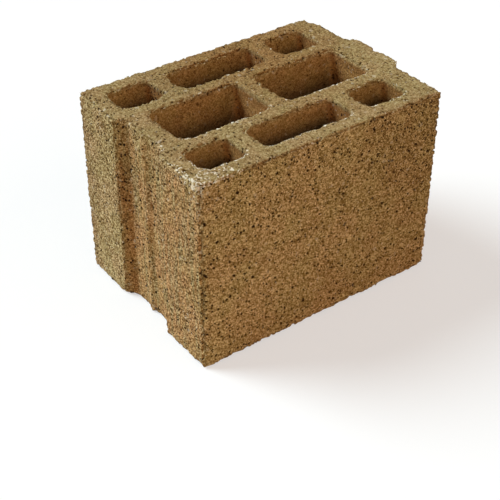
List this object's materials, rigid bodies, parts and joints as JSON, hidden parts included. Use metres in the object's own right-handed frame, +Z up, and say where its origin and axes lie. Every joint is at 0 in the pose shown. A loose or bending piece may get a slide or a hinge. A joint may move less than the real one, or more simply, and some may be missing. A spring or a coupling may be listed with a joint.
{
  "type": "hollow concrete block",
  "caption": "Vibro-pressed hollow concrete block with upright cells in three rows, a groove down one end and a notched tongue down the other, laid in courses to build walls.",
  "frame": {"origin": "middle of the bed, on the web between the two middle cells", "axes": "+X along the block towards its tongue, +Y from face to face, +Z up"},
  "size_m": [0.268, 0.19, 0.19],
  "materials": {
    "concrete": "vibro-pressed, open granular texture, brown"
  },
  "bodies": {
    "root": {"block": "concrete"}
  },
  "joints": []
}
